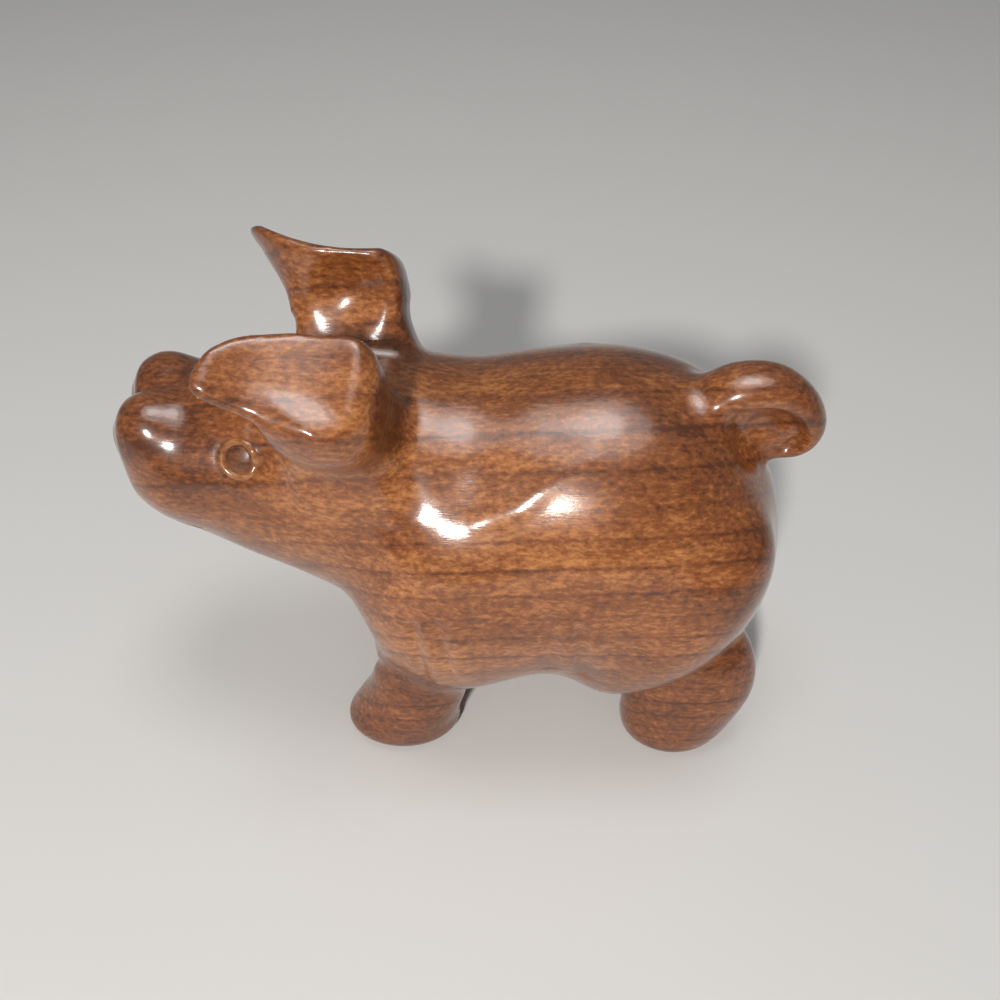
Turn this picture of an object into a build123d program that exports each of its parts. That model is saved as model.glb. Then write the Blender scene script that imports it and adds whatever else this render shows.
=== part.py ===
from build123d import *
import os

# Carved wooden pig. The head points along -X, the tail along +X, its left side is -Y and Z is up.
# The soles stand on Z = 0 and the middle plane of the animal is Y = 0.
overall_length = 150.0
overall_width = 71.0
overall_height = 115.0

# Eyes: a pale ring and a dark plug glued into a drilled socket on each side of the head.
eye_ring_diameter = 9.0
eye_ring_wall = 1.65
eye_socket_depth = 3.0
eye_ring_stand = 0.5
eye_ring_rounding = 0.8
eye_pupil_crown = 0.8
glue_clearance = 0.05
cut_overrun = 3.0

# Where a section stands along the pig, its middle height, its half width and its half height:
# shares of the overall length, height, width and height.
trunk_shares = [
    (-0.499, 0.619, 0.021, 0.010),
    (-0.495, 0.619, 0.077, 0.040),
    (-0.489, 0.619, 0.121, 0.063),
    (-0.481, 0.618, 0.149, 0.079),
    (-0.464, 0.617, 0.186, 0.111),
    (-0.428, 0.612, 0.220, 0.144),
    (-0.375, 0.607, 0.244, 0.180),
    (-0.323, 0.600, 0.280, 0.204),
    (-0.257, 0.591, 0.316, 0.233),
    (-0.191, 0.572, 0.350, 0.263),
    (-0.131, 0.533, 0.387, 0.286),
    (-0.065, 0.494, 0.434, 0.307),
    (0.008, 0.466, 0.477, 0.321),
    (0.101, 0.463, 0.497, 0.343),
    (0.207, 0.468, 0.501, 0.349),
    (0.300, 0.460, 0.477, 0.332),
    (0.366, 0.446, 0.409, 0.294),
    (0.412, 0.422, 0.323, 0.237),
    (0.441, 0.406, 0.238, 0.183),
    (0.459, 0.398, 0.151, 0.122),
    (0.468, 0.396, 0.062, 0.053),
    (0.470, 0.396, 0.011, 0.007),
]

# Rounded masses on the left of the middle plane, each of them found again on the right.
# A row gives the middle along, across and up, then the half sizes the same way.
snout_lobe_share = ((-0.442, -0.101, 0.718), (0.044, 0.101, 0.064))
shoulder_share = ((-0.020, -0.309, 0.400), (0.130, 0.195, 0.229))
thigh_share = ((0.298, -0.288, 0.390), (0.083, 0.203, 0.259))

# The top of the thigh leans back by this many degrees.
thigh_tilt = 31.7

# Leg sections from the sole upward: along, across and up, then half length and half width.
front_leg_shares = [
    (-0.112, -0.310, 0.000, 0.083, 0.126),
    (-0.112, -0.310, 0.025, 0.093, 0.148),
    (-0.105, -0.308, 0.060, 0.087, 0.151),
    (-0.086, -0.300, 0.120, 0.080, 0.146),
    (-0.070, -0.282, 0.190, 0.081, 0.138),
    (-0.058, -0.254, 0.260, 0.086, 0.124),
    (-0.036, -0.220, 0.330, 0.074, 0.108),
]
hind_leg_shares = [
    (0.331, -0.295, 0.000, 0.073, 0.126),
    (0.334, -0.295, 0.025, 0.084, 0.148),
    (0.341, -0.293, 0.068, 0.093, 0.151),
    (0.355, -0.279, 0.153, 0.101, 0.143),
    (0.357, -0.254, 0.237, 0.090, 0.124),
    (0.340, -0.206, 0.322, 0.065, 0.096),
]

# The middle of the left ear's upper face, and the way that this face looks.
ear_middle_share = (-0.212, -0.333, 0.953)
ear_up_share = (0.165, -0.590, 0.790)

# The outline of the ear, forward and outward from that middle, in shares of its half sizes.
ear_outline_shares = [
    (1.09, 0.36),
    (1.06, 0.02),
    (0.93, -0.36),
    (0.64, -0.71),
    (0.16, -0.93),
    (-0.34, -1.10),
    (-0.70, -1.13),
    (-0.94, -0.88),
    (-1.05, -0.36),
    (-1.06, 0.22),
    (-0.96, 0.76),
    (-0.58, 1.06),
    (0.07, 1.03),
    (0.46, 0.91),
    (0.82, 0.74),
    (1.02, 0.58),
]

# Ear sections from the upper face down into the head: depth, middle forward, half length,
# middle outward and half breadth, all as shares of the overall length.
ear_section_shares = [
    (0.000, 0.000, 0.104, 0.000, 0.062),
    (0.025, -0.019, 0.098, 0.004, 0.059),
    (0.049, -0.036, 0.091, 0.008, 0.055),
    (0.070, -0.046, 0.084, 0.012, 0.052),
    (0.088, -0.051, 0.085, 0.015, 0.050),
    (0.108, -0.054, 0.093, 0.018, 0.050),
    (0.130, -0.055, 0.106, 0.022, 0.054),
    (0.163, -0.056, 0.120, 0.026, 0.064),
]

# The upper face sags along its length by the first share, over the second one each way.
ear_sag_share = 0.012
ear_sag_reach_share = 0.083

# Under the front half of the ear the wood is cut back from its outer edge: how thick the edge
# stays, how far forward the cut starts, and how steeply it rises outward and forward.
ear_edge_share = 0.010
ear_cut_start_share = 0.020
ear_cut_slope_share = (3.0, 1.3)

# The inner side of the ear is dished: forward, outward and deep, then the half sizes.
ear_dish_share = ((-0.040, -0.090, 0.072), (0.070, 0.064, 0.060))

# The tail from its root to its tip: along and up, then half breadth and half thickness
# as shares of the overall length.
tail_shares = [
    (0.275, 0.704, 0.049, 0.036),
    (0.324, 0.765, 0.046, 0.032),
    (0.366, 0.797, 0.043, 0.029),
    (0.414, 0.802, 0.040, 0.027),
    (0.452, 0.774, 0.037, 0.024),
    (0.475, 0.731, 0.034, 0.021),
    (0.474, 0.692, 0.031, 0.017),
    (0.458, 0.668, 0.027, 0.013),
    (0.438, 0.660, 0.023, 0.011),
    (0.420, 0.656, 0.020, 0.010),
    (0.396, 0.646, 0.017, 0.009),
]

# A thin web stays in the curl of the tail, with a rounded pocket cut in from each side.
tail_web_share = ((0.408, 0.000, 0.726), (0.060, 0.060, 0.075))
tail_pocket_share = ((0.410, -0.117, 0.724), (0.052, 0.082, 0.062))

# The middle of each eye is found on a line from inside the head.
eye_along_share = -0.304
eye_up_share = 0.610
eye_aim_share = (0.79, 0.61)


def place(along_share, across_share, up_share):
    return Vector(
        overall_length * along_share,
        overall_width * across_share,
        overall_height * up_share,
    )


def egg(half_x, half_y, half_z):
    """An egg whose surface closes on itself at its left and right ends."""
    return scale(Rot(90, 0, 0) * Sphere(1), by=(half_x, half_y, half_z))


def cross_section(along_share, up_share, half_width_share, half_height_share):
    plane = Plane(origin=place(along_share, 0, up_share), x_dir=(0, 1, 0), z_dir=(1, 0, 0))
    return plane * Ellipse(overall_width * half_width_share, overall_height * half_height_share)


def level_section(along_share, across_share, up_share, half_length_share, half_width_share):
    plane = Plane(origin=place(along_share, across_share, up_share))
    return plane * Ellipse(overall_length * half_length_share, overall_width * half_width_share)


def leg(shares):
    return loft([level_section(*row) for row in shares])


def rounded_mass(shares, tilt=0):
    middle, half_sizes = shares
    half_size = place(*half_sizes)
    return Pos(place(*middle)) * Rot(0, tilt, 0) * egg(half_size.X, half_size.Y, half_size.Z)


def ear_plane():
    upward = Vector(*ear_up_share).normalized()
    ahead = Vector(-upward.Z, 0, upward.X)
    return Plane(origin=place(*ear_middle_share), x_dir=ahead, z_dir=upward)


def ear_section(plane, depth_share, ahead_share, half_length_share, outward_share, half_breadth_share):
    half_length = overall_length * half_length_share
    half_breadth = overall_length * half_breadth_share
    middle = (overall_length * ahead_share, overall_length * outward_share)
    outline = Spline(
        [(middle[0] + half_length * row[0], middle[1] + half_breadth * row[1]) for row in ear_outline_shares],
        periodic=True,
    )
    return plane.offset(-overall_length * depth_share) * make_face(outline)


def under_ear(start, slope_ahead, slope_outward):
    """Everything under a sloping plane through the start, in the frame of the ear."""
    slope = Plane(origin=start, z_dir=(-slope_ahead, -slope_outward, 1))
    align = (Align.CENTER, Align.CENTER, Align.MAX)
    return slope * Box(overall_length, overall_length, overall_length, align=align)


def ear_undercut():
    start = Vector(
        overall_length * ear_cut_start_share,
        overall_length * ear_section_shares[0][4],
        -overall_length * ear_edge_share,
    )
    slope_ahead, slope_outward = ear_cut_slope_share
    return under_ear(start, 0, slope_outward) & under_ear(start, slope_ahead, slope_outward)


def ear_sag():
    sag = overall_length * ear_sag_share
    reach = overall_length * ear_sag_reach_share
    radius = (reach * reach / sag + sag) / 2
    return Pos(0, 0, radius - sag) * Rot(90, 0, 0) * Cylinder(radius, overall_width)


def ear_dish():
    ahead, outward, depth = [overall_length * share for share in ear_dish_share[0]]
    half_sizes = [overall_length * share for share in ear_dish_share[1]]
    return Pos(ahead, outward, -depth) * egg(*half_sizes)


def ear():
    plane = ear_plane()
    solid = loft([ear_section(plane, *row) for row in reversed(ear_section_shares)])
    return solid - plane * ear_undercut() - plane * ear_sag() - plane * ear_dish()


def tail():
    centres = [place(row[0], 0, row[1]) for row in tail_shares]
    last = len(centres) - 1
    sections = []
    for index, row in enumerate(tail_shares):
        ahead = centres[min(index + 1, last)]
        behind = centres[max(index - 1, 0)]
        plane = Plane(origin=centres[index], x_dir=(0, 1, 0), z_dir=ahead - behind)
        sections.append(plane * Ellipse(overall_length * row[2], overall_length * row[3]))
    return loft(sections)


def eye_plane(head, side):
    start = place(eye_along_share, 0, eye_up_share)
    aim = Vector(0, side * eye_aim_share[0], eye_aim_share[1])
    hits = head.find_intersection_points(Axis(start, aim))
    point, outward = max(hits, key=lambda hit: (hit[0] - start).dot(aim))
    if outward.dot(aim) < 0:
        outward = -outward
    along = Vector(1, 0, 0)
    return Plane(origin=point, x_dir=along - outward * along.dot(outward), z_dir=outward)


def eye_socket(plane):
    radius = eye_ring_diameter / 2 + glue_clearance
    depth = eye_socket_depth + glue_clearance
    drill = Cylinder(radius, depth + cut_overrun, align=(Align.CENTER, Align.CENTER, Align.MIN))
    return plane * Pos(0, 0, -depth) * drill


def eye_ring(plane):
    height = eye_socket_depth + eye_ring_stand
    stock = Cylinder(eye_ring_diameter / 2, height, align=(Align.CENTER, Align.CENTER, Align.MIN))
    stock = fillet(stock.edges().group_by(Axis.Z)[-1], eye_ring_rounding)
    bore = Cylinder(
        eye_ring_diameter / 2 - eye_ring_wall,
        height + cut_overrun * 2,
        align=(Align.CENTER, Align.CENTER, Align.MIN),
    )
    return plane * Pos(0, 0, -eye_socket_depth) * (stock - Pos(0, 0, -cut_overrun) * bore)


def eye_pupil(plane):
    radius = eye_ring_diameter / 2 - eye_ring_wall - glue_clearance
    stem = Cylinder(radius, eye_socket_depth, align=(Align.CENTER, Align.CENTER, Align.MIN))
    crown = egg(radius, radius, eye_pupil_crown)
    return plane * (Pos(0, 0, -eye_socket_depth) * stem + crown)


trunk = loft([cross_section(*row) for row in trunk_shares])
eye_planes = {"left": eye_plane(trunk, -1), "right": eye_plane(trunk, 1)}

carved = trunk
for left_shape in (
    rounded_mass(snout_lobe_share),
    rounded_mass(shoulder_share),
    rounded_mass(thigh_share, thigh_tilt),
    leg(front_leg_shares),
    leg(hind_leg_shares),
    ear(),
):
    carved += left_shape
    carved += mirror(left_shape, about=Plane.XZ)
carved += tail()
carved += rounded_mass(tail_web_share)
pocket = rounded_mass(tail_pocket_share)
carved -= pocket
carved -= mirror(pocket, about=Plane.XZ)
for plane in eye_planes.values():
    carved -= eye_socket(plane)

nodes = {"carved_body": carved}
for name, plane in eye_planes.items():
    nodes[name + "_eye_ring"] = eye_ring(plane)
    nodes[name + "_eye_pupil"] = eye_pupil(plane)

box = carved.bounding_box()
shift = Pos(-(box.min.X + box.max.X) / 2, 0, -box.min.Z)

os.makedirs("parts", exist_ok=True)
for name, shape in nodes.items():
    export_step(shift * shape, "parts/" + name + ".step")
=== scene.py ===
import math

import bpy
import numpy as np
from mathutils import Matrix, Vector


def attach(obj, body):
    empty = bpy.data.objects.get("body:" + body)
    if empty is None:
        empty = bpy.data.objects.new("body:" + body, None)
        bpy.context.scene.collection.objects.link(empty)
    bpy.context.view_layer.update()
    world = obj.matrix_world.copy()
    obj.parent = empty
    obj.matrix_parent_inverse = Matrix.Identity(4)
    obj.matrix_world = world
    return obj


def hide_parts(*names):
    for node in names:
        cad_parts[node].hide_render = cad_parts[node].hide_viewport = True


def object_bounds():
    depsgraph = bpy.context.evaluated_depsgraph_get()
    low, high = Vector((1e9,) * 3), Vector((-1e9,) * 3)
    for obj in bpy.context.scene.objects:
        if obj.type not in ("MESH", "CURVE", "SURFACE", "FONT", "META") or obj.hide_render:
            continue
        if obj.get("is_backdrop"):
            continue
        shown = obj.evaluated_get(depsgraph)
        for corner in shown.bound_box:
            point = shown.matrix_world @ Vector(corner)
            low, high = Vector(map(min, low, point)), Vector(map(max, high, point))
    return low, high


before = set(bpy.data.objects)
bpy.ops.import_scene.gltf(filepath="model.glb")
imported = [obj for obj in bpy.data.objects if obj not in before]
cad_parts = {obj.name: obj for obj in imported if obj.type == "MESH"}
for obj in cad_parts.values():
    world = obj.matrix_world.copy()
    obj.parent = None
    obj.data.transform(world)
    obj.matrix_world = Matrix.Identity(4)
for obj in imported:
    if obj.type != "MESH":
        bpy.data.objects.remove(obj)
cad_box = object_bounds()

# The pig's overall sizes in metres. It faces -X, its left side is -Y and its soles stand on Z = 0.
overall_length = 0.150
overall_width = 0.071
overall_height = 0.115

# Eyes, in metres.
eye_ring_diameter = 0.0090
eye_ring_wall = 0.00165
eye_ring_stand = 0.00035
eye_ring_rounding = 0.0010
eye_ring_height = 0.0022
eye_pupil_crown = 0.00040
eye_groove_depth = 0.00025
eye_groove_width = 0.00045

# Spacing of the grids on which the shapes are worked out, and the room left round each form.
body_step = 0.0006
eye_step = 0.00015
body_margin = 0.006
form_margin = 0.012
tail_margin = 0.010
eye_margin = 0.0015

# Added to a length or a share before something is divided by it, so that it is never nought.
least_share = 1e-6
least_length = 1e-9

# How far a point moves towards its neighbours' middle and back again when the faces are evened out.
relaxing_shares = (0.55, -0.58)

# The growth rings lie square to this way. Their count from the first one rises at the first rate
# for each metre, slows as the rings widen, and past the bend keeps to the outer rate.
ring_way = (-0.063, 0.635, 0.770)
ring_start = -4.683
ring_rate = 244.5
ring_thinning = 1114.0
ring_bend = 0.055
ring_outer_rate = 130.0

# How softly the carved forms run into each other.
snout_blend = 0.0060
mass_blend = 0.0080
front_leg_blend = 0.0042
hind_leg_blend = 0.0014
ear_root_blend = 0.0100
ear_crease_blend = 0.0018
ear_rim_blend = 0.0030
tail_blend = 0.0040
scoop_blend = 0.0018
sole_blend = 0.0024

# Shares of the overall length, height, width and height: where a section stands along the pig,
# its middle height, its half width and its half height.
trunk_shares = [
    (-0.499, 0.619, 0.021, 0.010),
    (-0.495, 0.619, 0.077, 0.040),
    (-0.489, 0.619, 0.121, 0.063),
    (-0.481, 0.618, 0.149, 0.079),
    (-0.464, 0.617, 0.186, 0.111),
    (-0.428, 0.612, 0.220, 0.144),
    (-0.375, 0.607, 0.244, 0.180),
    (-0.323, 0.600, 0.280, 0.204),
    (-0.257, 0.591, 0.316, 0.233),
    (-0.191, 0.572, 0.350, 0.263),
    (-0.131, 0.533, 0.387, 0.286),
    (-0.065, 0.494, 0.434, 0.307),
    (0.008, 0.466, 0.477, 0.321),
    (0.101, 0.463, 0.497, 0.343),
    (0.207, 0.468, 0.501, 0.349),
    (0.300, 0.460, 0.477, 0.332),
    (0.366, 0.446, 0.409, 0.294),
    (0.412, 0.422, 0.323, 0.237),
    (0.441, 0.406, 0.238, 0.183),
    (0.459, 0.398, 0.151, 0.122),
    (0.468, 0.396, 0.062, 0.053),
    (0.470, 0.396, 0.011, 0.007),
]

# Rounded masses on the left of the middle plane: the middle along, across and up, then the half
# sizes. The thigh's top leans back by this many degrees.
snout_lobe_share = ((-0.442, -0.101, 0.718), (0.044, 0.101, 0.064))
snout_side_share = ((-0.390, -0.130, 0.640), (0.070, 0.124, 0.078))
ear_fold_share = ((-0.170, -0.300, 0.838), (0.060, 0.100, 0.058))
shoulder_share = ((-0.020, -0.309, 0.400), (0.130, 0.195, 0.229))
thigh_share = ((0.298, -0.288, 0.390), (0.083, 0.203, 0.259))
thigh_tilt = 31.7

# Leg sections: along, across and up, then half length and half width.
front_leg_shares = [
    (-0.112, -0.310, 0.000, 0.083, 0.126),
    (-0.112, -0.310, 0.025, 0.093, 0.148),
    (-0.105, -0.308, 0.060, 0.087, 0.151),
    (-0.086, -0.300, 0.120, 0.080, 0.146),
    (-0.070, -0.282, 0.190, 0.081, 0.138),
    (-0.058, -0.254, 0.260, 0.086, 0.124),
    (-0.036, -0.220, 0.330, 0.074, 0.108),
]
hind_leg_shares = [
    (0.331, -0.295, 0.000, 0.073, 0.126),
    (0.334, -0.295, 0.025, 0.084, 0.148),
    (0.341, -0.293, 0.068, 0.093, 0.151),
    (0.355, -0.279, 0.153, 0.101, 0.143),
    (0.357, -0.254, 0.237, 0.090, 0.124),
    (0.340, -0.206, 0.322, 0.065, 0.096),
]

# The left ear stands square to its flat upper face, whose middle and upward way are given first.
# Its outline, forward and outward from that middle, is in shares of the half sizes below.
ear_middle_share = (-0.212, -0.333, 0.953)
ear_up_share = (0.165, -0.590, 0.790)
ear_outline_shares = [
    (1.09, 0.36),
    (1.06, 0.00),
    (0.93, -0.41),
    (0.64, -0.79),
    (0.16, -1.05),
    (-0.34, -1.22),
    (-0.70, -1.21),
    (-0.94, -0.92),
    (-1.05, -0.36),
    (-1.06, 0.22),
    (-0.96, 0.71),
    (-0.58, 0.97),
    (0.07, 0.93),
    (0.46, 0.83),
    (0.82, 0.70),
    (1.02, 0.57),
]

# Ear sections from the upper face down into the head: depth, middle forward, half length,
# middle outward and half breadth, all as shares of the overall length.
ear_section_shares = [
    (0.000, 0.000, 0.104, 0.000, 0.062),
    (0.025, -0.019, 0.098, 0.004, 0.059),
    (0.049, -0.036, 0.091, 0.008, 0.055),
    (0.070, -0.046, 0.084, 0.012, 0.052),
    (0.088, -0.051, 0.085, 0.015, 0.050),
    (0.108, -0.054, 0.093, 0.018, 0.050),
    (0.130, -0.055, 0.106, 0.022, 0.054),
    (0.163, -0.056, 0.120, 0.026, 0.064),
]

# The room that the ear takes up below and above its middle, in metres.
ear_room_below = (0.024, 0.020, 0.034)
ear_room_above = (0.024, 0.026, 0.014)

# The ear's upper face is hollowed along its length by this much, between these ends.
ear_sag_share = 0.012
ear_sag_reach_share = 0.083

# Its outer rim is as thick as the first share. From there it thickens inward by the first rate,
# and behind the second share's place it thickens towards the back by the second rate.
ear_rim_thickness_share = 0.010
ear_thickening_start_share = 0.020
ear_inward_rate = 1.3
ear_backward_rate = 3

# A dish is scooped from under it: the middle forward, outward and down, then the half sizes.
ear_dish_share = ((-0.040, -0.090, 0.072), (0.070, 0.064, 0.060))

# The tail from its root to its tip: along and up, then half breadth and half thickness
# as shares of the overall length.
tail_shares = [
    (0.275, 0.704, 0.049, 0.036),
    (0.324, 0.765, 0.046, 0.032),
    (0.366, 0.797, 0.043, 0.029),
    (0.414, 0.802, 0.040, 0.027),
    (0.452, 0.774, 0.037, 0.024),
    (0.475, 0.731, 0.034, 0.021),
    (0.474, 0.692, 0.031, 0.017),
    (0.458, 0.668, 0.027, 0.013),
    (0.438, 0.660, 0.023, 0.011),
    (0.420, 0.656, 0.020, 0.010),
    (0.396, 0.646, 0.017, 0.009),
]

# A web in the middle plane closes the curl, and a pocket is scooped into each side of it.
tail_web_share = ((0.408, 0.000, 0.726), (0.060, 0.060, 0.075))
tail_pocket_share = ((0.411, -0.117, 0.727), (0.047, 0.098, 0.053))

# Shallow hollows in the left side: the middle along, across and up, the reach along, across and
# up, and how deep it is as a share of the overall length. Below nought the wood swells instead.
hollow_shares = [
    ((0.003, -0.312, 0.709), (0.046, 0.075, 0.046), 0.0040),
    ((0.315, -0.060, 0.800), (0.035, 0.080, 0.040), 0.0040),
    ((-0.200, 0.000, 0.815), (0.070, 0.130, 0.050), 0.0110),
    ((-0.150, -0.350, 0.275), (0.030, 0.150, 0.040), -0.0060),
]

# Lines carved in the left side: how far they reach to each side and how deep they are, as shares
# of the overall length, then the points they pass, each along, across and up.
line_shares = [
    (0.0085, 0.0052, [(-0.069, -0.485, 0.470), (-0.064, -0.490, 0.370), (-0.060, -0.455, 0.280)]),
    (0.0085, -0.0052, [(-0.051, -0.491, 0.470), (-0.043, -0.495, 0.367), (-0.037, -0.465, 0.280)]),
    (0.0080, 0.0050, [(-0.034, -0.495, 0.480), (-0.025, -0.500, 0.400), (-0.018, -0.470, 0.310)]),
    (0.0080, -0.0050, [(-0.017, -0.492, 0.500), (-0.010, -0.502, 0.420), (-0.003, -0.485, 0.330)]),
    (0.0110, 0.0042, [(0.018, -0.490, 0.490), (0.022, -0.490, 0.400), (0.024, -0.460, 0.320)]),
    (0.0080, -0.0038, [(0.048, -0.487, 0.480), (0.054, -0.472, 0.376), (0.056, -0.450, 0.320)]),
    (0.0100, 0.0038, [(0.118, -0.495, 0.500), (0.124, -0.490, 0.400), (0.126, -0.470, 0.330)]),
    (0.0075, -0.0050, [(0.141, -0.499, 0.490), (0.148, -0.490, 0.400), (0.150, -0.470, 0.340)]),
    (0.0090, 0.0042, [(0.164, -0.497, 0.480), (0.172, -0.490, 0.390), (0.176, -0.450, 0.300)]),
    (0.0080, -0.0054, [(0.182, -0.496, 0.450), (0.193, -0.480, 0.370), (0.207, -0.430, 0.280)]),
    (0.0140, -0.0018, [
        (0.020, -0.368, 0.664),
        (0.071, -0.356, 0.693),
        (0.111, -0.316, 0.726),
        (0.164, -0.268, 0.759),
    ]),
    (0.0110, 0.0070, [
        (0.225, -0.400, 0.225),
        (0.270, -0.425, 0.262),
        (0.320, -0.425, 0.302),
        (0.362, -0.395, 0.318),
    ]),
    (0.0120, 0.0050, [
        (-0.153, -0.230, 0.170),
        (-0.142, -0.330, 0.205),
        (-0.115, -0.400, 0.235),
        (-0.070, -0.440, 0.260),
    ]),
    (0.0100, 0.0065, [
        (-0.284, -0.200, 0.772),
        (-0.268, -0.235, 0.752),
        (-0.270, -0.250, 0.728),
        (-0.287, -0.230, 0.692),
    ]),
    (0.0045, 0.0045, [
        (-0.385, -0.215, 0.540),
        (-0.430, -0.190, 0.548),
        (-0.475, -0.120, 0.550),
        (-0.492, -0.020, 0.552),
    ]),
]

# Painted shade: the wood is darkened in the crease behind each ear, where shade falls, from this middle
# and this far.
ear_shade_share = ((-0.090, 0.275, 0.850), (0.030, 0.150, 0.090))

# The middle of each eye is found on a line from inside the head.
eye_along_share = -0.304
eye_up_share = 0.610
eye_aim_share = (0.79, 0.61)


def place(along_share, across_share, up_share):
    return np.array([
        overall_length * along_share,
        overall_width * across_share,
        overall_height * up_share,
    ])


def extent(share):
    return np.array([
        overall_length * share[0],
        overall_width * share[1],
        overall_height * share[2],
    ])


def soft_low(a, b, blend):
    near = np.maximum(blend - np.abs(a - b), 0) / blend
    return np.minimum(a, b) - near * near * blend / 4


def soft_high(a, b, blend):
    return -soft_low(-a, -b, blend)


def mix(a, b, t):
    return a + (b - a) * t


def between(a, b, c, d, u):
    """The smooth curve from b to c, whose neighbours are a and d (Catmull-Rom)."""
    bend = (2 * a - 5 * b + 4 * c - d) * u ** 2
    return 0.5 * (2 * b + (c - a) * u + bend + (3 * b - a - 3 * c + d) * u ** 3)


def smooth_line(points, count):
    """Evenly spaced stations on a smooth curve through the points."""
    points = np.asarray(points, float)
    ends = np.vstack([2 * points[0] - points[1], points, 2 * points[-1] - points[-2]])
    stations = np.linspace(0, len(points) - 1, count)
    start = np.minimum(stations.astype(int), len(points) - 2)
    u = (stations - start)[:, None]
    return between(*(ends[start + offset] for offset in range(4)), u)


class Field:
    """Distances to a surface on a grid: negative inside the wood."""

    def __init__(self, low, high, step):
        self.low = np.asarray(low, float)
        self.step = step
        count = np.ceil((np.asarray(high) - self.low) / step).astype(int) + 1
        self.axes = [self.low[i] + step * np.arange(count[i]) for i in range(3)]
        self.value = np.full(count, overall_length, np.float32)

    def window(self, low, high):
        first = np.floor((np.asarray(low) - self.low) / self.step).astype(int)
        last = np.ceil((np.asarray(high) - self.low) / self.step).astype(int) + 1
        count = self.value.shape
        return tuple(slice(max(a, 0), min(b, n)) for a, b, n in zip(first, last, count))

    def points(self, window):
        x, y, z = (axis[part].astype(np.float32) for axis, part in zip(self.axes, window))
        return x[:, None, None], y[None, :, None], z[None, None, :]

    def add(self, window, value, blend):
        self.value[window] = soft_low(self.value[window], value, blend)

    def cut(self, window, value, blend):
        self.value[window] = soft_high(self.value[window], -value, blend)

    def at(self, points):
        """Values between the grid's points, and the slope there."""
        place_in_grid = (np.asarray(points) - self.low) / self.step
        top = np.array(self.value.shape) - 2
        cell = np.clip(place_in_grid.astype(int), 0, top)
        u, v, w = (np.clip(place_in_grid - cell, 0, 1)).T
        corner = np.array([
            [[self.value[cell[:, 0] + i, cell[:, 1] + j, cell[:, 2] + k] for k in (0, 1)] for j in (0, 1)]
            for i in (0, 1)
        ])
        value = mix(*mix(*mix(*corner, u), v), w)
        slope_x = mix(*mix(*(corner[1] - corner[0]), v), w)
        slope_y = mix(*mix(*(corner[:, 1] - corner[:, 0]), u), w)
        slope_z = mix(*mix(*(corner[:, :, 1] - corner[:, :, 0]), u), v)
        return value, np.stack([slope_x, slope_y, slope_z], 1) / self.step


def scaled_slope(value, step):
    """Divides out slopes over one, so that the field stays near a true distance."""
    slopes = np.gradient(value, step)
    steepness = np.sqrt(sum(slope * slope for slope in slopes))
    return value / np.maximum(steepness, 1)


def rounded_mass(field, share, tilt=0):
    """An egg with half sizes along, across and up, its top leaning back by the tilt in degrees."""
    middle, half = place(*share[0]), extent(share[1])
    sine, cosine = np.sin(np.radians(tilt)), np.cos(np.radians(tilt))
    reach_x = np.hypot(half[0] * cosine, half[2] * sine)
    reach_z = np.hypot(half[0] * sine, half[2] * cosine)
    reach = np.array([reach_x, half[1], reach_z]) + form_margin
    window = field.window(middle - reach, middle + reach)
    x, y, z = field.points(window)
    x, z = x - middle[0], z - middle[2]
    u = (x * cosine - z * sine) / half[0]
    v = (y - middle[1]) / half[1]
    w = (x * sine + z * cosine) / half[2]
    radius = np.sqrt(u * u + v * v + w * w) + least_share
    slope = np.sqrt((u / half[0]) ** 2 + (v / half[1]) ** 2 + (w / half[2]) ** 2) + least_share
    return window, (radius * (radius - 1) / slope).astype(np.float32)


def oval_value(u, v, half_u, half_v):
    """About the distance to an oval with these half sizes, negative inside it."""
    radius = np.sqrt((u / half_u) ** 2 + (v / half_v) ** 2) + least_share
    reach = np.sqrt(u * u + v * v) + least_length
    return np.maximum(reach * (1 - 1 / radius), -np.minimum(half_u, half_v))


def station_values(stations, sizes, positions):
    """Smoothly interpolates the sizes given at the stations to other positions along them."""
    fine = smooth_line(np.column_stack([stations, sizes]), 40 * len(stations))
    order = np.argsort(fine[:, 0])
    columns = [np.interp(positions, fine[order, 0], fine[order, i + 1]) for i in range(sizes.shape[1])]
    return [column.astype(np.float32) for column in columns]


def trunk(field):
    window = tuple(slice(0, n) for n in field.value.shape)
    x, y, z = field.points(window)
    shares = np.array(trunk_shares)
    stations = overall_length * shares[:, 0]
    sizes = np.column_stack([
        overall_height * shares[:, 1],
        overall_width * shares[:, 2],
        overall_height * shares[:, 3],
    ])
    middle, half_width, half_height = station_values(stations, sizes, x[:, 0, 0])
    least = overall_width * 0.004
    half_width = np.maximum(half_width, least)[:, None, None]
    half_height = np.maximum(half_height, least)[:, None, None]
    value = oval_value(y, z - middle[:, None, None], half_width, half_height)
    beyond = np.maximum(np.maximum(stations[0] - x, x - stations[-1]), 0)
    value = np.where(beyond > 0, np.sqrt(np.maximum(value, 0) ** 2 + beyond ** 2), value)
    return window, scaled_slope(value, field.step).astype(np.float32)


def upright(field, section_shares):
    """A limb with level oval sections, flat at its top and run a little past its sole."""
    shares = np.array(section_shares)
    places = np.array([place(*row[:3]) for row in shares])
    half = np.column_stack([overall_length * shares[:, 3], overall_width * shares[:, 4]])
    reach = np.array([half[:, 0].max(), half[:, 1].max(), 0]) + form_margin
    low = places.min(0) - reach
    high = places.max(0) + reach
    window = field.window(low, high)
    x, y, z = field.points(window)
    sizes = np.column_stack([places[:, :2], half])
    middle_x, middle_y, half_x, half_y = station_values(places[:, 2], sizes, z[0, 0, :])
    value = oval_value(x - middle_x, y - middle_y, half_x, half_y)
    ends = np.maximum(places[0, 2] - 2 * sole_blend - z, z - places[-1, 2])
    value = np.maximum(scaled_slope(value, field.step), ends)
    return window, value.astype(np.float32)


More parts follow.
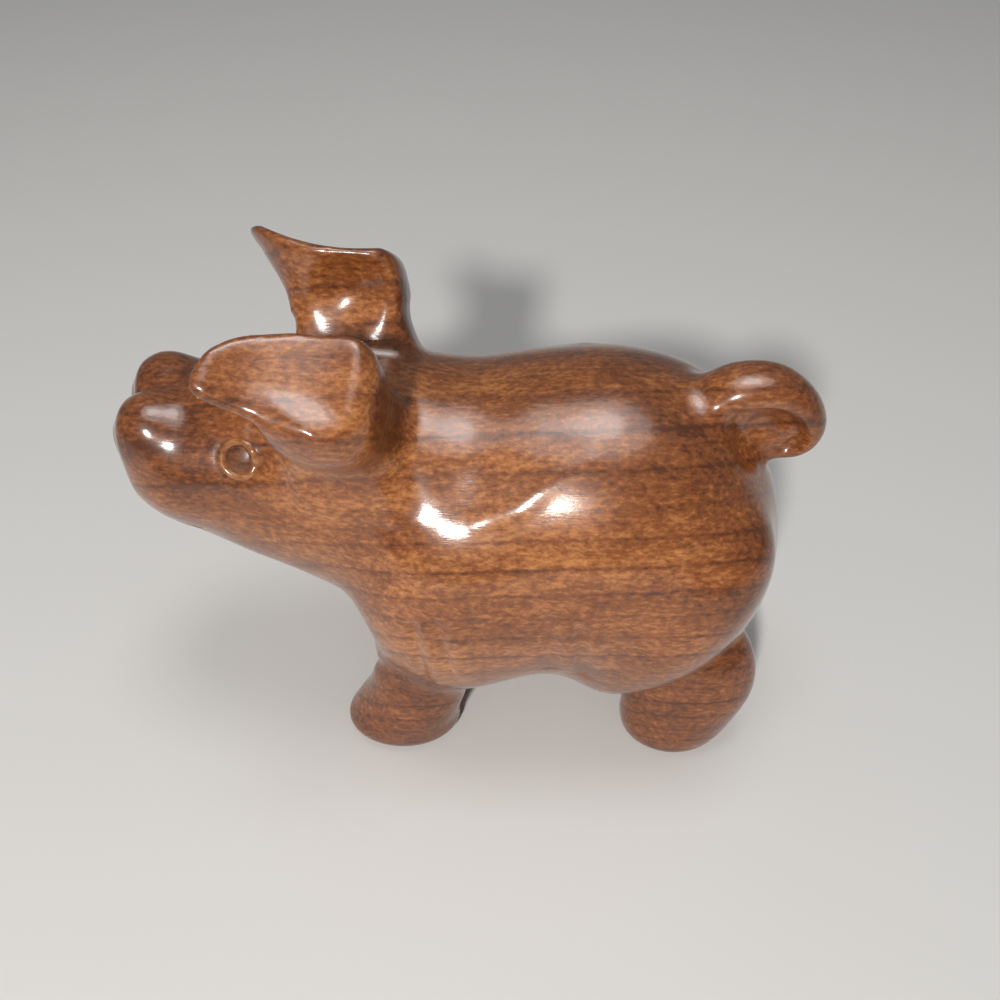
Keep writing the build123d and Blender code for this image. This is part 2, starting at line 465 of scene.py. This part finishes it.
def closed_curve(points, count):
    """Stations on a smooth closed curve through the points."""
    points = np.asarray(points, float)
    stations = np.arange(count * len(points)) / count
    start = stations.astype(int)
    u = (stations - start)[:, None]
    return between(*(points[(start + offset) % len(points)] for offset in (-1, 0, 1, 2)), u)


def outline_distance(curve, u, v):
    """Distance to a closed curve in its own plane, negative inside it."""
    nearest = np.full(u.shape, np.inf, np.float32)
    inside = np.zeros(u.shape, bool)
    for (u0, v0), (u1, v1) in zip(curve, np.roll(curve, -1, axis=0)):
        du, dv = u1 - u0, v1 - v0
        t = np.clip(((u - u0) * du + (v - v0) * dv) / (du * du + dv * dv), 0, 1)
        nearest = np.minimum(nearest, (u - u0 - t * du) ** 2 + (v - v0 - t * dv) ** 2)
        crossing = (v0 > v) != (v1 > v)
        if dv:
            inside ^= crossing & (u < u0 + (v - v0) / dv * du)
    return np.where(inside, -1, 1) * np.sqrt(nearest)


def ear_frame():
    """The ear's middle and its forward, outward and upward ways."""
    upward = np.array(ear_up_share) / np.linalg.norm(ear_up_share)
    forward = np.array([-upward[2], 0, upward[0]])
    forward /= np.linalg.norm(forward)
    return place(*ear_middle_share), forward, np.cross(upward, forward), upward


def ear(field):
    """A thick folded leaf, undercut at its outer rim. Its blend widens away from the rear crease."""
    middle, forward, outward, upward = ear_frame()
    sections = overall_length * np.array(ear_section_shares)
    window = field.window(middle - ear_room_below, middle + ear_room_above)
    x, y, z = field.points(window)
    x, y, z = x - middle[0], y - middle[1], z - middle[2]
    u, v, w = (x * way[0] + y * way[1] + z * way[2] for way in (forward, outward, upward))
    sag_reach = overall_length * ear_sag_reach_share
    sag = overall_length * ear_sag_share * np.maximum(1 - (u / sag_reach) ** 2, 0)
    w = w + sag
    depth = np.clip(-w, sections[0, 0], sections[-1, 0])
    fine = smooth_line(sections, 80)
    u_middle, half_u, v_middle, half_v = (np.interp(depth, fine[:, 0], fine[:, i]) for i in range(1, 5))
    wide, broad = sections[0, 2], sections[0, 4]
    curve = closed_curve(ear_outline_shares, 8) * [wide, broad]
    local_u = (u - u_middle) / half_u * wide
    local_v = (v - v_middle) / half_v * broad
    side = scaled_slope(outline_distance(curve, local_u, local_v), field.step)
    rim = overall_length * ear_rim_thickness_share
    behind = np.maximum(ear_thickening_start_share * overall_length - u, 0)
    undercut = (-w - rim - ear_inward_rate * (broad - v) - ear_backward_rate * behind) / 2
    value = soft_high(side, w, ear_rim_blend)
    value = soft_high(value, undercut, ear_rim_blend)
    dish_middle, dish_half = (overall_length * np.array(part) for part in ear_dish_share)
    u = (u - dish_middle[0]) / dish_half[0]
    v = (v - dish_middle[1]) / dish_half[1]
    w = (-w - dish_middle[2]) / dish_half[2]
    dish = (np.sqrt(u * u + v * v + w * w) - 1) * dish_half.min()
    value = soft_high(value, -dish, ear_rim_blend)
    softness = np.clip(0.5 + local_v / broad + local_u / wide, 0, 1)
    blend = ear_crease_blend + (ear_root_blend - ear_crease_blend) * softness
    return window, value.astype(np.float32), blend.astype(np.float32)


def tail(field):
    """A curled band along a line in the middle plane, oval across and round at its ends."""
    shares = np.array(tail_shares)
    rows = np.column_stack([
        overall_length * shares[:, 0],
        overall_height * shares[:, 1],
        overall_length * shares[:, 2],
        overall_length * shares[:, 3],
    ])
    line = smooth_line(rows, 90)
    reach = rows[:, 2].max() + tail_margin
    low = [line[:, 0].min() - reach, -reach, line[:, 1].min() - reach]
    high = [line[:, 0].max() + reach, reach, line[:, 1].max() + reach]
    window = field.window(low, high)
    x, y, z = field.points(window)
    nearest = np.full((x.size, z.size), np.inf)
    breadth = np.zeros_like(nearest)
    thickness = np.zeros_like(nearest)
    flat_x, flat_z = x[:, 0], z[0]
    for start, end in zip(line[:-1], line[1:]):
        step_x, step_z = end[:2] - start[:2]
        t = ((flat_x - start[0]) * step_x + (flat_z - start[1]) * step_z) / (step_x ** 2 + step_z ** 2)
        t = np.clip(t, 0, 1)
        gap = (flat_x - start[0] - t * step_x) ** 2 + (flat_z - start[1] - t * step_z) ** 2
        nearer = gap < nearest
        nearest = np.where(nearer, gap, nearest)
        breadth = np.where(nearer, start[2] + t * (end[2] - start[2]), breadth)
        thickness = np.where(nearer, start[3] + t * (end[3] - start[3]), thickness)
    away = np.sqrt(nearest)[:, None, :]
    value = oval_value(y, away, breadth[:, None, :], thickness[:, None, :])
    return window, scaled_slope(value, field.step).astype(np.float32)


def hollow(field, middle, reach, depth):
    """A shallow hollow in the surface, or a swelling where the depth is below nought."""
    window = field.window(middle - 2.5 * reach, middle + 2.5 * reach)
    x, y, z = field.points(window)
    offset = (x - middle[0], y - middle[1], z - middle[2])
    away = sum((part / size) ** 2 for part, size in zip(offset, reach))
    field.value[window] += (depth * np.exp(-away)).astype(np.float32)


def carved_line(field, points, reach, depth):
    """A groove along a smooth line through the points, or a ridge where the depth is below nought."""
    line = smooth_line(points, 8 * len(points))
    window = field.window(line.min(0) - 3 * reach, line.max(0) + 3 * reach)
    x, y, z = field.points(window)
    nearest = np.full(field.value[window].shape, np.inf, np.float32)
    for start, end in zip(line[:-1], line[1:]):
        way = end - start
        offset = (x - start[0], y - start[1], z - start[2])
        t = np.clip(sum(part * step for part, step in zip(offset, way)) / (way @ way), 0, 1)
        gap = sum((part - t * step) ** 2 for part, step in zip(offset, way))
        nearest = np.minimum(nearest, gap)
    field.value[window] += (depth * np.exp(-nearest / reach ** 2)).astype(np.float32)


def half_body():
    """The left half of the carving with a strip past the middle plane."""
    strip = 8 * body_step
    low = [-overall_length / 2 - body_margin, -overall_width / 2 - body_margin, -body_margin]
    high = [overall_length / 2 + body_margin, strip, overall_height + body_margin]
    field = Field(low, high, body_step)
    window, value = trunk(field)
    field.value[window] = value
    field.add(*rounded_mass(field, snout_side_share), mass_blend)
    field.add(*rounded_mass(field, snout_lobe_share), snout_blend)
    field.add(*rounded_mass(field, shoulder_share), mass_blend)
    field.add(*rounded_mass(field, thigh_share, thigh_tilt), mass_blend)
    field.add(*upright(field, front_leg_shares), front_leg_blend)
    field.add(*upright(field, hind_leg_shares), hind_leg_blend)
    field.add(*rounded_mass(field, ear_fold_share), snout_blend)
    field.add(*ear(field))
    field.add(*tail(field), tail_blend)
    field.add(*rounded_mass(field, tail_web_share), scoop_blend)
    field.cut(*rounded_mass(field, tail_pocket_share), scoop_blend)
    for middle, reach, depth in hollow_shares:
        hollow(field, place(*middle), extent(reach), overall_length * depth)
    for reach, depth, points in line_shares:
        line = np.array([place(*point) for point in points])
        carved_line(field, line, overall_length * reach, overall_length * depth)
    return field


def whole_body():
    """Mirrors the left half, so both sides are carved alike."""
    half = half_body()
    below = half.axes[1] <= body_step * 0.25
    left = half.value[:, below, :]
    rows = half.axes[1][below]
    offset = rows[-1]
    field = Field(half.low, half.low, body_step)
    field.low = np.array([half.low[0], rows[0] - offset, half.low[2]])
    field.value = np.concatenate([left, left[:, -2::-1, :]], axis=1)
    field.axes = [half.axes[0], field.low[1] + body_step * np.arange(field.value.shape[1]), half.axes[2]]
    return field


def surface(field):
    """Points and four-sided faces on the field's zero surface (surface nets)."""
    value = field.value
    inside = value < 0
    count = np.array(value.shape) - 1
    some = np.zeros(count, bool)
    every = np.ones(count, bool)
    offsets = [(i, j, k) for i in (0, 1) for j in (0, 1) for k in (0, 1)]
    for i, j, k in offsets:
        part = inside[i:i + count[0], j:j + count[1], k:k + count[2]]
        some |= part
        every &= part
    cells = np.argwhere(some & ~every)
    number = np.full(count, -1, np.int32)
    number[tuple(cells.T)] = np.arange(len(cells))
    corner = np.stack([value[tuple((cells + offset).T)] for offset in offsets], 1)
    total = np.zeros((len(cells), 3))
    hits = np.zeros(len(cells))
    for a, first in enumerate(offsets):
        for b, second in enumerate(offsets):
            if sum(second) - sum(first) == 1 and all(q >= p for p, q in zip(first, second)):
                crosses = (corner[:, a] < 0) != (corner[:, b] < 0)
                gap = np.where(crosses, corner[:, a] - corner[:, b], 1)
                t = np.where(crosses, corner[:, a] / gap, 0)[:, None]
                spot = np.array(first) + t * (np.array(second) - np.array(first))
                total += np.where(crosses[:, None], spot, 0)
                hits += crosses
    points = field.low + field.step * (cells + total / hits[:, None])
    faces = []
    for axis in range(3):
        low_side = [slice(None)] * 3
        high_side = [slice(None)] * 3
        low_side[axis] = slice(0, -1)
        high_side[axis] = slice(1, None)
        first, second = inside[tuple(low_side)], inside[tuple(high_side)]
        second_axis, third_axis = (axis + 1) % 3, (axis + 2) % 3
        for crossing, outward in ((first & ~second, True), (~first & second, False)):
            spots = np.argwhere(crossing)
            keep = (spots[:, second_axis] > 0) & (spots[:, second_axis] < count[second_axis])
            keep &= (spots[:, third_axis] > 0) & (spots[:, third_axis] < count[third_axis])
            spots = spots[keep]
            ring = []
            for back in ((0, 0), (1, 0), (1, 1), (0, 1)):
                cell = spots.copy()
                cell[:, second_axis] -= back[0]
                cell[:, third_axis] -= back[1]
                ring.append(number[tuple(cell.T)])
            quads = np.stack(ring if outward else ring[::-1], 1)
            faces.append(quads)
    for _ in range(3):
        distance, slope = field.at(points)
        steepness = np.maximum((slope * slope).sum(1), 0.2)
        points = points - slope * (distance / steepness)[:, None]
    return points, np.concatenate(faces)


def relaxed(points, faces, rounds=4):
    """Evens out the faces: each point moves towards its neighbours' middle, then back a little."""
    ends = np.concatenate([faces[:, [0, 1]], faces[:, [1, 2]], faces[:, [2, 3]], faces[:, [3, 0]]])
    degree = np.bincount(ends.ravel(), minlength=len(points))
    for share in relaxing_shares * rounds:
        middle = np.zeros_like(points)
        for axis in range(3):
            middle[:, axis] = np.bincount(ends[:, 0], points[ends[:, 1], axis], len(points))
            middle[:, axis] += np.bincount(ends[:, 1], points[ends[:, 0], axis], len(points))
        middle /= degree[:, None]
        points = points + share * (middle - points)
    return points


def new_piece(name, points, faces, material):
    mesh = bpy.data.meshes.new(name)
    mesh.vertices.add(len(points))
    mesh.vertices.foreach_set("co", points.astype(np.float32).ravel())
    mesh.loops.add(faces.size)
    mesh.loops.foreach_set("vertex_index", faces.astype(np.int32).ravel())
    mesh.polygons.add(len(faces))
    mesh.polygons.foreach_set("loop_start", np.arange(0, faces.size, 4, dtype=np.int32))
    mesh.polygons.foreach_set("use_smooth", np.ones(len(faces), bool))
    mesh.update(calc_edges=True)
    mesh.validate()
    mesh.materials.append(material)
    piece = bpy.data.objects.new(name, mesh)
    bpy.context.scene.collection.objects.link(piece)
    return piece


def eye_seat(field, side):
    """The point on the head where an eye sits, and the way out of the wood there."""
    start = place(eye_along_share, 0, eye_up_share)
    aim = np.array([0, side * eye_aim_share[0], eye_aim_share[1]])
    aim /= np.linalg.norm(aim)
    reach = np.arange(0, overall_width / 2, body_step / 4)
    distance, _ = field.at(start + reach[:, None] * aim)
    point = start + reach[np.argmax(distance > 0)] * aim
    _, slope = field.at(point[None] - aim * body_step)
    return point, slope[0] / np.linalg.norm(slope[0])


def eye_fields(field, seat):
    """The ring and the plug follow the head's own surface, a little proud of it."""
    point, outward = seat
    reach = eye_ring_diameter / 2 + eye_margin
    ring = Field(point - reach, point + reach, eye_step)
    pupil = Field(point - reach, point + reach, eye_step)
    x, y, z = np.broadcast_arrays(*ring.points(ring.window(point - reach, point + reach)))
    points = np.stack([x.ravel(), y.ravel(), z.ravel()], 1).astype(float)
    above, _ = field.at(points)
    above = above.reshape(x.shape)
    offset = points - point
    along = offset @ outward
    radius = np.sqrt(np.maximum((offset * offset).sum(1) - along ** 2, 0)).reshape(x.shape)
    outer = eye_ring_diameter / 2
    inner = outer - eye_ring_wall
    side_walls = np.abs(radius - (outer + inner) / 2) - eye_ring_wall / 2
    top = above - eye_ring_stand
    ring.value = soft_high(side_walls, top, eye_ring_rounding)
    ring.value = np.maximum(ring.value, -(above + eye_ring_height)).astype(np.float32)
    dome = above - eye_pupil_crown * (1 - (radius / inner) ** 2)
    pupil.value = soft_high(radius - inner, dome, eye_ring_rounding / 4)
    pupil.value = np.maximum(pupil.value, -(above + eye_ring_height)).astype(np.float32)
    return ring, pupil


def cut_eye_groove(field, seat):
    """A fine line carved round the ring."""
    point, outward = seat
    reach = eye_ring_diameter
    window = field.window(point - reach, point + reach)
    x, y, z = field.points(window)
    offset = (x - point[0], y - point[1], z - point[2])
    along = sum(part * way for part, way in zip(offset, outward))
    radius = np.sqrt(np.maximum(sum(part * part for part in offset) - along ** 2, 0))
    rim = eye_ring_diameter / 2 + eye_groove_width / 3
    near = np.exp(-((radius - rim) / eye_groove_width) ** 2) * (np.abs(along) < eye_ring_diameter / 2)
    field.value[window] += (eye_groove_depth * near).astype(np.float32)


def link(tree, source, target):
    tree.links.new(source, target)


def calculate(tree, operation, first, second=None):
    made = tree.nodes.new("ShaderNodeMath")
    made.operation = operation
    for socket, value in zip(made.inputs, (first, second)):
        if isinstance(value, (int, float)):
            socket.default_value = value
        elif value is not None:
            link(tree, value, socket)
    return made.outputs[0]


def weighted(tree, parts):
    """The sum of each part times its weight."""
    total = None
    for part, weight in parts:
        share = calculate(tree, "MULTIPLY", part, weight)
        total = share if total is None else calculate(tree, "ADD", total, share)
    return total


def stretched_noise(tree, coordinates, stretch, detail, roughness=0.55):
    """Noise whose cells are as large along X, Y and Z as stretch says, in metres."""
    mapping = tree.nodes.new("ShaderNodeMapping")
    mapping.inputs["Scale"].default_value = [1 / length for length in stretch]
    link(tree, coordinates, mapping.inputs["Vector"])
    noise = tree.nodes.new("ShaderNodeTexNoise")
    noise.inputs["Scale"].default_value = 1.0
    noise.inputs["Detail"].default_value = detail
    noise.inputs["Roughness"].default_value = roughness
    link(tree, mapping.outputs["Vector"], noise.inputs["Vector"])
    return calculate(tree, "SUBTRACT", noise.outputs["Fac"], 0.5)


def ramp(tree, factor, stops):
    """A colour or a grey value for each factor, from the stops at their positions."""
    made = tree.nodes.new("ShaderNodeValToRGB")
    elements = made.color_ramp.elements
    while len(elements) < len(stops):
        elements.new(0.5)
    for element, (position, colour) in zip(elements, stops):
        element.position = position
        element.color = (*colour, 1) if isinstance(colour, tuple) else (colour, colour, colour, 1)
    link(tree, factor, made.inputs["Fac"])
    return made.outputs["Color"]


def tinted(tree, factor, colour, tint):
    """The colour multiplied by the tint, as far as the factor says."""
    made = tree.nodes.new("ShaderNodeMix")
    made.data_type = "RGBA"
    made.blend_type = "MULTIPLY"
    link(tree, factor, made.inputs["Factor"])
    plain, multiplied = (
        next(socket for socket in made.inputs if socket.name == name and socket.type == "RGBA")
        for name in ("A", "B")
    )
    link(tree, colour, plain)
    multiplied.default_value = (*tint, 1)
    return next(socket for socket in made.outputs if socket.type == "RGBA")


def ring_lines(tree, coordinates):
    """How dark the growth rings' lines are at a point: one on a strong line, nought between them."""
    across = tree.nodes.new("ShaderNodeVectorMath")
    across.operation = "DOT_PRODUCT"
    across.inputs[1].default_value = ring_way
    link(tree, coordinates, across.inputs[0])
    slow = stretched_noise(tree, coordinates, (0.080, 0.040, 0.040), detail=1.0)
    fine = stretched_noise(tree, coordinates, (0.012, 0.006, 0.005), detail=3.0)
    waves = weighted(tree, [(slow, 0.0040), (fine, 0.0016)])
    depth = calculate(tree, "ADD", across.outputs["Value"], waves)
    inner = calculate(tree, "MINIMUM", depth, ring_bend)
    outer = calculate(tree, "SUBTRACT", depth, inner)
    thinning = calculate(tree, "MULTIPLY", inner, inner)
    count = weighted(tree, [(inner, ring_rate), (thinning, -ring_thinning), (outer, ring_outer_rate)])
    count = calculate(tree, "ADD", count, ring_start)
    number = calculate(tree, "FLOOR", calculate(tree, "ADD", count, 0.5))
    past = calculate(tree, "SUBTRACT", count, number)
    line = ramp(tree, calculate(tree, "ADD", past, 0.5), [
        (0.08, 0.0),
        (0.32, 0.18),
        (0.44, 0.52),
        (0.49, 1.0),
        (0.525, 0.70),
        (0.60, 0.0),
    ])
    strength = calculate(tree, "COSINE", calculate(tree, "MULTIPLY", number, math.pi / 2))
    patchy = stretched_noise(tree, coordinates, (0.020, 0.010, 0.010), detail=2.0)
    strength = weighted(tree, [(strength, -0.28), (patchy, 0.9)])
    return calculate(tree, "MULTIPLY", line, calculate(tree, "ADD", strength, 0.62))


def crease_shade_distance(tree, split):
    """How far a point is from the painted shade in the creases behind the ears: nought in them, one at
    their edges.
    """
    total = 0
    for axis, middle, reach in zip("XYZ", place(*ear_shade_share[0]), extent(ear_shade_share[1])):
        along = split.outputs[axis]
        if axis == "Y":
            along = calculate(tree, "ABSOLUTE", along)
        offset = calculate(tree, "SUBTRACT", along, float(middle))
        offset = calculate(tree, "DIVIDE", offset, float(reach))
        total = calculate(tree, "ADD", total, calculate(tree, "MULTIPLY", offset, offset))
    return total


def lacquered_wood(name, light, middle, dark, lines=1.0, gloss=0.16):
    """Hardwood with growth rings, flecked grain along X and a clear gloss coat, darkened with painted
    shade at the snout, low down and in the creases behind the ears, and darker towards the rump.
    """
    material = bpy.data.materials.new(name)
    material.use_nodes = True
    tree = material.node_tree
    shader = tree.nodes["Principled BSDF"]
    coordinates = tree.nodes.new("ShaderNodeTexCoord").outputs["Object"]
    broad = stretched_noise(tree, coordinates, (0.045, 0.030, 0.022), detail=2.0)
    patches = stretched_noise(tree, coordinates, (0.018, 0.011, 0.009), detail=3.0)
    streaks = stretched_noise(tree, coordinates, (0.015, 0.0013, 0.0011), detail=4.0, roughness=0.6)
    flecks = stretched_noise(tree, coordinates, (0.0017, 0.0010, 0.0009), detail=3.0, roughness=0.65)
    tone = weighted(tree, [(broad, 0.60), (patches, 0.75), (streaks, 0.42), (flecks, 1.25)])
    tone = calculate(tree, "ADD", tone, 0.52)
    split = tree.nodes.new("ShaderNodeSeparateXYZ")
    link(tree, coordinates, split.inputs["Vector"])
    along = calculate(tree, "ADD", calculate(tree, "DIVIDE", split.outputs["X"], overall_length), 0.5)
    # Painted shade darkens the snout and head; the wood is also darker towards the rump.
    snout_shade_rump_darkening = ramp(tree, along, [
        (0.00, 0.30),
        (0.12, 0.25),
        (0.27, 0.01),
        (0.60, 0.00),
        (0.78, 0.09),
        (1.00, 0.15),
    ])
    tone = calculate(tree, "SUBTRACT", tone, snout_shade_rump_darkening)
    height = calculate(tree, "DIVIDE", split.outputs["Z"], overall_height)
    # Painted shade: darker towards the soles and the bottom of the belly, where less light reaches.
    painted_low_shade = ramp(tree, height, [(0.04, 0.16), (0.20, 0.12), (0.34, 0.0)])
    tone = calculate(tree, "SUBTRACT", tone, painted_low_shade)
    # Painted shade: darker in the crease behind each ear.
    painted_crease_shade = ramp(tree, crease_shade_distance(tree, split), [(0.45, 0.38), (1.00, 0.0)])
    tone = calculate(tree, "SUBTRACT", tone, painted_crease_shade)
    ring_tone = calculate(tree, "MULTIPLY", ring_lines(tree, coordinates), 0.34 * lines)
    tone = calculate(tree, "SUBTRACT", tone, ring_tone)
    colour = ramp(tree, tone, [(0.08, dark), (0.46, middle), (0.86, light)])
    pores = stretched_noise(tree, coordinates, (0.0024, 0.00036, 0.00036), detail=2.0)
    pore_mask = ramp(tree, pores, [(0.12, 0.0), (0.24, 0.3)])
    colour = tinted(tree, pore_mask, colour, (0.40, 0.27, 0.20))
    link(tree, colour, shader.inputs["Base Color"])
    rough = ramp(tree, calculate(tree, "ADD", flecks, 0.5), [(0.30, 0.34), (0.75, 0.46)])
    link(tree, rough, shader.inputs["Roughness"])
    relief = weighted(tree, [(flecks, 0.9), (streaks, 1.3), (pore_mask, -0.25)])
    bump = tree.nodes.new("ShaderNodeBump")
    bump.inputs["Strength"].default_value = 0.30
    bump.inputs["Distance"].default_value = 0.00008
    link(tree, relief, bump.inputs["Height"])
    link(tree, bump.outputs["Normal"], shader.inputs["Normal"])
    link(tree, bump.outputs["Normal"], shader.inputs["Coat Normal"])
    shader.inputs["IOR"].default_value = 1.5
    shader.inputs["Specular IOR Level"].default_value = 0.20
    shader.inputs["Coat Weight"].default_value = 1.0
    shader.inputs["Coat Roughness"].default_value = gloss
    shader.inputs["Coat IOR"].default_value = 1.5
    return material


def camera():
    """The photograph's viewing angle: 45 degrees down on the left side of the pig."""
    lens_width = 36.0
    stand_height = 0.2199
    stand_back = 0.1617
    stand_along = 0.0129
    look_down = 45.2
    turn = 2.3
    data = bpy.data.cameras.new("photo_camera")
    data.sensor_width = lens_width
    data.lens = lens_width
    made = bpy.data.objects.new("photo_camera", data)
    made.location = (stand_along, -stand_back, stand_height)
    made.rotation_euler = (math.radians(90 - look_down), 0, math.radians(turn))
    bpy.context.scene.collection.objects.link(made)
    bpy.context.scene.camera = made


def floor():
    material = bpy.data.materials.new("pale_floor")
    material.use_nodes = True
    shader = material.node_tree.nodes["Principled BSDF"]
    shader.inputs["Base Color"].default_value = (0.80, 0.79, 0.77, 1)
    shader.inputs["Roughness"].default_value = 0.6
    shader.inputs["Specular IOR Level"].default_value = 0.2
    half = overall_length * 14
    mesh = bpy.data.meshes.new("floor")
    corners = [(-half, -half, 0), (half, -half, 0), (half, half, 0), (-half, half, 0)]
    mesh.from_pydata(corners, [], [(0, 1, 2, 3)])
    mesh.materials.append(material)
    made = bpy.data.objects.new("floor", mesh)
    bpy.context.scene.collection.objects.link(made)
    made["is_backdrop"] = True


def lamp(name, position, size, power, colour=(1, 1, 1), sheen_only=False):
    """A soft round lamp in metres and watts, aimed at the middle of the pig."""
    data = bpy.data.lights.new(name, "AREA")
    data.shape = "DISK"
    data.size = size
    data.energy = power
    data.color = colour
    made = bpy.data.objects.new(name, data)
    made.visible_diffuse = not sheen_only
    made.location = position
    aim = Vector((0, 0, overall_height / 2)) - Vector(position)
    made.rotation_euler = aim.to_track_quat("-Z", "Y").to_euler()
    bpy.context.scene.collection.objects.link(made)


def lights():
    lamp("key_light", (-0.165, -0.730, 0.610), 0.09, 6.5, colour=(1.0, 0.98, 0.95))
    lamp("top_light", (0.03, 0.03, 0.92), 0.34, 1.5)
    lamp("ceiling_light", (0.03, 0.00, 0.91), 0.74, 3.6, sheen_only=True)
    world = bpy.data.worlds.new("room")
    world.use_nodes = True
    tree = world.node_tree
    background = tree.nodes["Background"]
    background.inputs["Color"].default_value = (0.92, 0.94, 0.96, 1)
    seen = tree.nodes.new("ShaderNodeLightPath").outputs["Is Camera Ray"]
    strength = calculate(tree, "ADD", calculate(tree, "MULTIPLY", seen, 0.52), 0.18)
    link(tree, strength, background.inputs["Strength"])
    bpy.context.scene.world = world


def dress(piece, body_node):
    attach(piece, "root")
    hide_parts(body_node)


body_wood = lacquered_wood(
    "body_wood",
    light=(0.540, 0.215, 0.068),
    middle=(0.262, 0.081, 0.022),
    dark=(0.100, 0.028, 0.009),
)
ring_wood = lacquered_wood(
    "ring_wood",
    light=(0.580, 0.270, 0.105),
    middle=(0.360, 0.140, 0.046),
    dark=(0.140, 0.046, 0.014),
    lines=0.3,
)
pupil_wood = lacquered_wood(
    "pupil_wood",
    light=(0.300, 0.110, 0.034),
    middle=(0.180, 0.058, 0.016),
    dark=(0.066, 0.019, 0.006),
    lines=0.3,
    gloss=0.35,
)

body_field = whole_body()
seats = {side: eye_seat(body_field, sign) for side, sign in (("left", -1), ("right", 1))}
for side, seat in seats.items():
    ring_field, pupil_field = eye_fields(body_field, seat)
    eye_parts = (("ring", ring_field, ring_wood), ("pupil", pupil_field, pupil_wood))
    for part, part_field, material in eye_parts:
        points, faces = surface(part_field)
        piece = new_piece(side + "_eye_" + part + "_wood", relaxed(points, faces, 2), faces, material)
        dress(piece, side + "_eye_" + part)
for seat in seats.values():
    cut_eye_groove(body_field, seat)
under_floor = -body_field.axes[2].astype(np.float32)
body_field.value = soft_high(body_field.value, under_floor, sole_blend)
points, faces = surface(body_field)
points = relaxed(points, faces)
points[:, 2] = np.maximum(points[:, 2], 0)
body = new_piece("carved_pig", points, faces, body_wood)
dress(body, "carved_body")

floor()
lights()
camera()
bpy.context.scene.view_settings.view_transform = "Standard"

boxes = {"cad": cad_box, "visual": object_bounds()}
boxes = {name: [list(corner) for corner in box] for name, box in boxes.items()}
